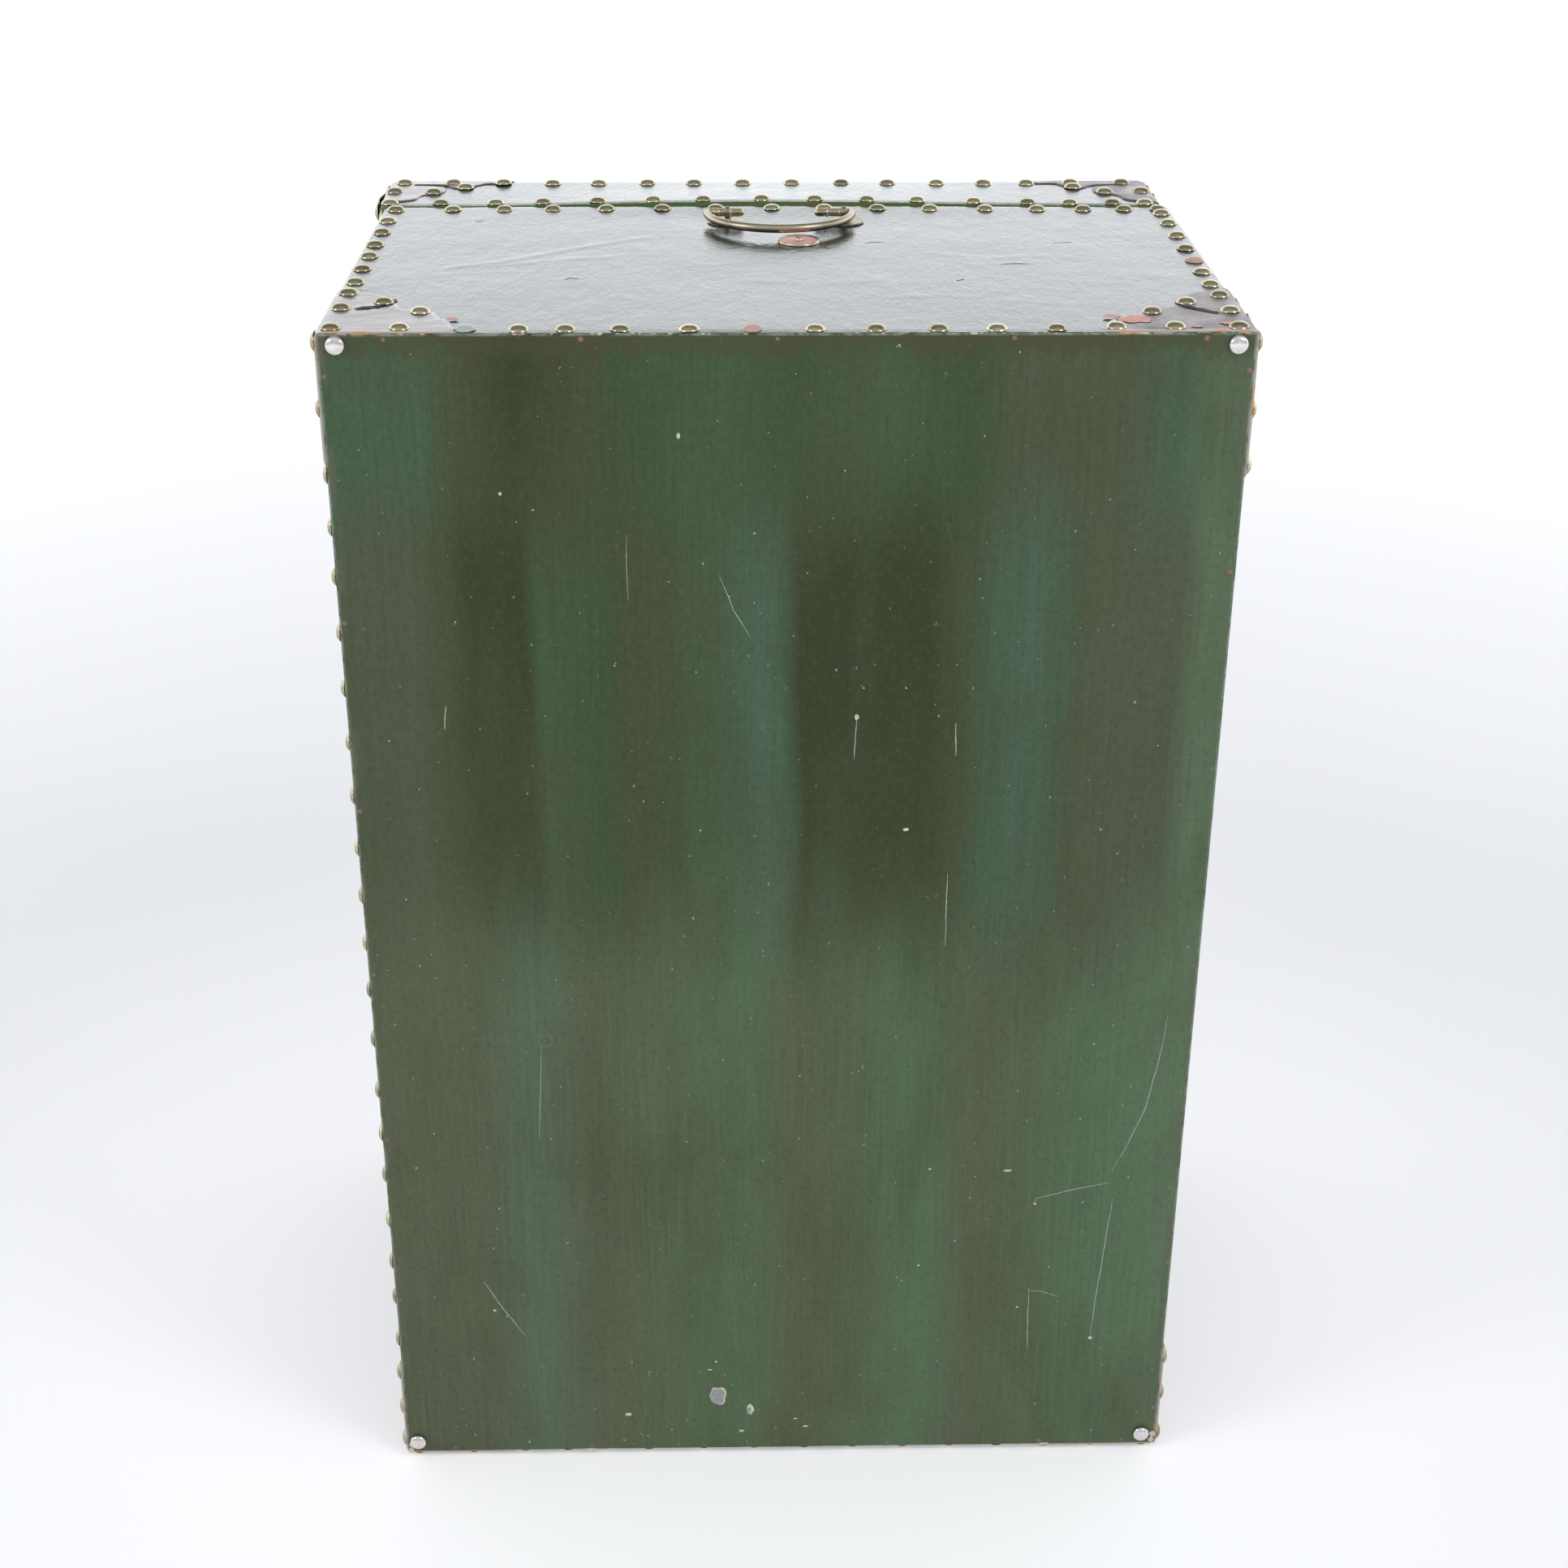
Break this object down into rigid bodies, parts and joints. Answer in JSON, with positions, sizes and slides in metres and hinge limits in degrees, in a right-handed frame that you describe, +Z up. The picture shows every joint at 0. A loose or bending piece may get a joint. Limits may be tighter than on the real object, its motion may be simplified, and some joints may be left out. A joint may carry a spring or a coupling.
{
  "type": "trunk-style strongbox",
  "caption": "Leather-covered, brass-studded wooden strongbox standing on its end, with a shallow hinged lid, a key lock and a bail handle.",
  "frame": {"origin": "on the standing surface, under the middle of the whole object's box", "axes": "+Z up along the longest side, from the lower end to the upper end with the bail handle; +Y from the bottom board to the lid; +X to the hinge side, with the lock at -X"},
  "size_m": [0.6384, 0.4474, 0.9323],
  "materials": {
    "green_paint": "glossy brushed dark green paint over a wooden board, scratched and scuffed",
    "bright_green": "brighter green painted wood on the rims",
    "raw_wood": "bare camphor-type wood, matt",
    "leather": "near-black green glazed hide with fine creases, glossy",
    "patch_leather": "worn brown-purple glazed hide with red rubbed edges",
    "brass": "aged brass, polished on the high spots",
    "nickel": "bright nickel-plated steel",
    "steel": "dull dark steel"
  },
  "bodies": {
    "case": {"bottom_board": "green_paint", "case_lock_side": "raw_wood", "case_hinge_side": "raw_wood", "case_upper_end": "raw_wood", "case_lower_end": "raw_wood", "case_leather": "leather", "lip_upper": "bright_green", "lip_lower": "bright_green", "lip_lock_upper": "bright_green", "lip_lock_lower": "bright_green", "patch_upper_lock": "patch_leather", "patch_upper_hinge": "patch_leather", "patch_lower_lock": "patch_leather", "patch_lower_hinge": "patch_leather", "foot_stud_front_lock": "brass", "foot_stud_front_hinge": "brass", "foot_stud_seam_lock": "brass", "foot_stud_seam_hinge": "brass", "glide_upper_lock": "nickel", "glide_upper_hinge": "nickel", "glide_lower_lock": "nickel", "glide_lower_hinge": "nickel", "hinge_upper_case_leaf": "brass", "hinge_upper_pin": "brass", "hinge_lower_case_leaf": "brass", "hinge_lower_pin": "brass", "eye_post_lock": "brass", "eye_post_hinge": "brass", "rosette_lock": "brass", "rosette_hinge": "brass", "post_nut_lock": "brass", "post_nut_hinge": "brass", "strike_plate": "brass", "lock_case": "steel", "escutcheon": "brass"},
    "lid": {"lid_panel": "raw_wood", "lid_lock_side": "raw_wood", "lid_hinge_side": "raw_wood", "lid_upper_end": "raw_wood", "lid_lower_end": "raw_wood", "lid_leather": "leather", "lid_patch_upper_lock": "patch_leather", "lid_patch_upper_hinge": "patch_leather", "lid_patch_lower_lock": "patch_leather", "lid_patch_lower_hinge": "patch_leather", "lid_stud_upper_lock": "brass", "lid_stud_upper_hinge": "brass", "lid_stud_lower_lock": "brass", "lid_stud_lower_hinge": "brass", "hinge_upper_lid_leaf": "brass", "hinge_lower_lid_leaf": "brass", "lock_link": "brass"},
    "bail": {"bail": "brass", "bail_finial_lock": "brass", "bail_finial_hinge": "brass"},
    "key": {"key": "steel"},
    "bolt": {"lock_bolt": "steel"}
  },
  "joints": [
    {"name": "lid_hinge", "type": "hinge", "parent": "case", "child": "lid", "pos_m": [0.31525, 0.1323, 0.4624], "axis": [0, 0, -1], "range_deg": [0, 180]},
    {"name": "bail_pivot", "type": "hinge", "parent": "case", "child": "bail", "pos_m": [0.01075, 0.0788, 0.9271], "axis": [-1, 0, 0], "range_deg": [0, 180]},
    {"name": "key_turn", "type": "hinge", "parent": "case", "child": "key", "pos_m": [-0.28925, 0.0858, 0.4624], "axis": [-1, 0, 0], "range_deg": [0, 180]},
    {"name": "bolt_slide", "type": "slide", "parent": "case", "child": "bolt", "axis": [0, 0, 1], "range_m": [0, 0.016]}
  ],
  "couplings": [
    {"joint": "key_turn", "follows": "bolt_slide", "rad_per_m": 196.34}
  ]
}
